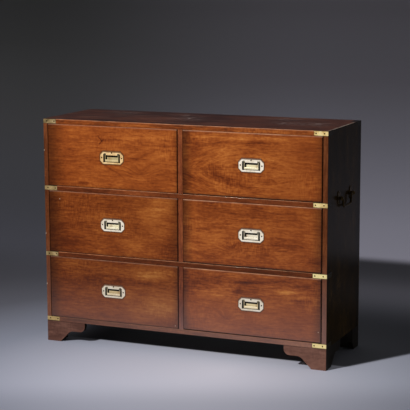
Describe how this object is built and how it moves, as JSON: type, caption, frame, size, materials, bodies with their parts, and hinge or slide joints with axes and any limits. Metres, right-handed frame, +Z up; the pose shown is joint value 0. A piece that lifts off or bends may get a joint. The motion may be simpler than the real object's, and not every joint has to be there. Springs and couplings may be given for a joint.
{
  "type": "chest of drawers",
  "caption": "Low mahogany chest of drawers in two columns on bracket feet, with flush brass corner straps, sunk bail pulls and a hinged carrying handle on each end.",
  "frame": {"origin": "on the floor, under the centre of the chest's box", "axes": "+Z up, +X along the front to the right as one faces it, -Y out of the drawer fronts"},
  "size_m": [1.259, 0.4108, 0.927],
  "materials": {
    "case_wood": "polished mahogany",
    "drawer_wood": "polished mahogany",
    "lining_wood": "bare oak",
    "inner_wood": "bare pine",
    "back_wood": "stained pine",
    "strap_brass": "rubbed brass",
    "pull_brass": "polished pale brass",
    "handle_brass": "aged brass",
    "screw_brass": "dull brass"
  },
  "bodies": {
    "case": {"top_board": "case_wood", "bottom_board": "case_wood", "side_left": "case_wood", "side_right": "case_wood", "rail_lower": "case_wood", "rail_upper": "case_wood", "dividers": "case_wood", "foot_front_left": "case_wood", "foot_front_right": "case_wood", "foot_rear_left": "case_wood", "foot_rear_right": "case_wood", "rear_rails": "inner_wood", "runners": "inner_wood", "centre_bearers": "inner_wood", "drawer_guides": "inner_wood", "drawer_stops": "inner_wood", "back_boards": "back_wood", "straps_left": "strap_brass", "straps_right": "strap_brass", "case_screws": "screw_brass", "carry_mounts_left": "handle_brass", "carry_mounts_right": "handle_brass"},
    "drawer_bottom_left": {"drawer_bottom_left_front": "drawer_wood", "drawer_bottom_left_box": "lining_wood", "drawer_bottom_left_bottom": "lining_wood", "drawer_bottom_left_pull_plate": "pull_brass", "drawer_bottom_left_pull_fixings": "screw_brass"},
    "pull_bail_bottom_left": {"drawer_bottom_left_pull_bail": "pull_brass"},
    "drawer_bottom_right": {"drawer_bottom_right_front": "drawer_wood", "drawer_bottom_right_box": "lining_wood", "drawer_bottom_right_bottom": "lining_wood", "drawer_bottom_right_pull_plate": "pull_brass", "drawer_bottom_right_pull_fixings": "screw_brass"},
    "pull_bail_bottom_right": {"drawer_bottom_right_pull_bail": "pull_brass"},
    "drawer_middle_left": {"drawer_middle_left_front": "drawer_wood", "drawer_middle_left_box": "lining_wood", "drawer_middle_left_bottom": "lining_wood", "drawer_middle_left_pull_plate": "pull_brass", "drawer_middle_left_pull_fixings": "screw_brass"},
    "pull_bail_middle_left": {"drawer_middle_left_pull_bail": "pull_brass"},
    "drawer_middle_right": {"drawer_middle_right_front": "drawer_wood", "drawer_middle_right_box": "lining_wood", "drawer_middle_right_bottom": "lining_wood", "drawer_middle_right_pull_plate": "pull_brass", "drawer_middle_right_pull_fixings": "screw_brass"},
    "pull_bail_middle_right": {"drawer_middle_right_pull_bail": "pull_brass"},
    "drawer_top_left": {"drawer_top_left_front": "drawer_wood", "drawer_top_left_box": "lining_wood", "drawer_top_left_bottom": "lining_wood", "drawer_top_left_pull_plate": "pull_brass", "drawer_top_left_pull_fixings": "screw_brass"},
    "pull_bail_top_left": {"drawer_top_left_pull_bail": "pull_brass"},
    "drawer_top_right": {"drawer_top_right_front": "drawer_wood", "drawer_top_right_box": "lining_wood", "drawer_top_right_bottom": "lining_wood", "drawer_top_right_pull_plate": "pull_brass", "drawer_top_right_pull_fixings": "screw_brass"},
    "pull_bail_top_right": {"drawer_top_right_pull_bail": "pull_brass"},
    "carry_bail_left": {"carry_bail_left": "handle_brass"},
    "carry_bail_right": {"carry_bail_right": "handle_brass"}
  },
  "joints": [
    {"name": "drawer_bottom_left_slide", "type": "slide", "parent": "case", "child": "drawer_bottom_left", "axis": [0, -1, 0], "range_m": [0, 0.29]},
    {"name": "pull_bail_bottom_left_hinge", "type": "hinge", "parent": "drawer_bottom_left", "child": "pull_bail_bottom_left", "pos_m": [-0.3007, -0.2021, 0.2469], "axis": [-1, 0, 0], "range_deg": [0, 90]},
    {"name": "drawer_bottom_right_slide", "type": "slide", "parent": "case", "child": "drawer_bottom_right", "axis": [0, -1, 0], "range_m": [0, 0.29]},
    {"name": "pull_bail_bottom_right_hinge", "type": "hinge", "parent": "drawer_bottom_right", "child": "pull_bail_bottom_right", "pos_m": [0.2993, -0.2021, 0.24795], "axis": [-1, 0, 0], "range_deg": [0, 90]},
    {"name": "drawer_middle_left_slide", "type": "slide", "parent": "case", "child": "drawer_middle_left", "axis": [0, -1, 0], "range_m": [0, 0.29]},
    {"name": "pull_bail_middle_left_hinge", "type": "hinge", "parent": "drawer_middle_left", "child": "pull_bail_middle_left", "pos_m": [-0.3007, -0.2021, 0.5209], "axis": [-1, 0, 0], "range_deg": [0, 90]},
    {"name": "drawer_middle_right_slide", "type": "slide", "parent": "case", "child": "drawer_middle_right", "axis": [0, -1, 0], "range_m": [0, 0.29]},
    {"name": "pull_bail_middle_right_hinge", "type": "hinge", "parent": "drawer_middle_right", "child": "pull_bail_middle_right", "pos_m": [0.2993, -0.2021, 0.52195], "axis": [-1, 0, 0], "range_deg": [0, 90]},
    {"name": "drawer_top_left_slide", "type": "slide", "parent": "case", "child": "drawer_top_left", "axis": [0, -1, 0], "range_m": [0, 0.29]},
    {"name": "pull_bail_top_left_hinge", "type": "hinge", "parent": "drawer_top_left", "child": "pull_bail_top_left", "pos_m": [-0.3007, -0.2021, 0.7949], "axis": [-1, 0, 0], "range_deg": [0, 90]},
    {"name": "drawer_top_right_slide", "type": "slide", "parent": "case", "child": "drawer_top_right", "axis": [0, -1, 0], "range_m": [0, 0.29]},
    {"name": "pull_bail_top_right_hinge", "type": "hinge", "parent": "drawer_top_right", "child": "pull_bail_top_right", "pos_m": [0.2993, -0.2021, 0.79595], "axis": [-1, 0, 0], "range_deg": [0, 90]},
    {"name": "carry_bail_left_hinge", "type": "hinge", "parent": "case", "child": "carry_bail_left", "pos_m": [-0.621, 0.0004, 0.654], "axis": [0, 1, 0], "range_deg": [-8, 180]},
    {"name": "carry_bail_right_hinge", "type": "hinge", "parent": "case", "child": "carry_bail_right", "pos_m": [0.621, 0.0004, 0.654], "axis": [0, -1, 0], "range_deg": [-8, 180]}
  ]
}
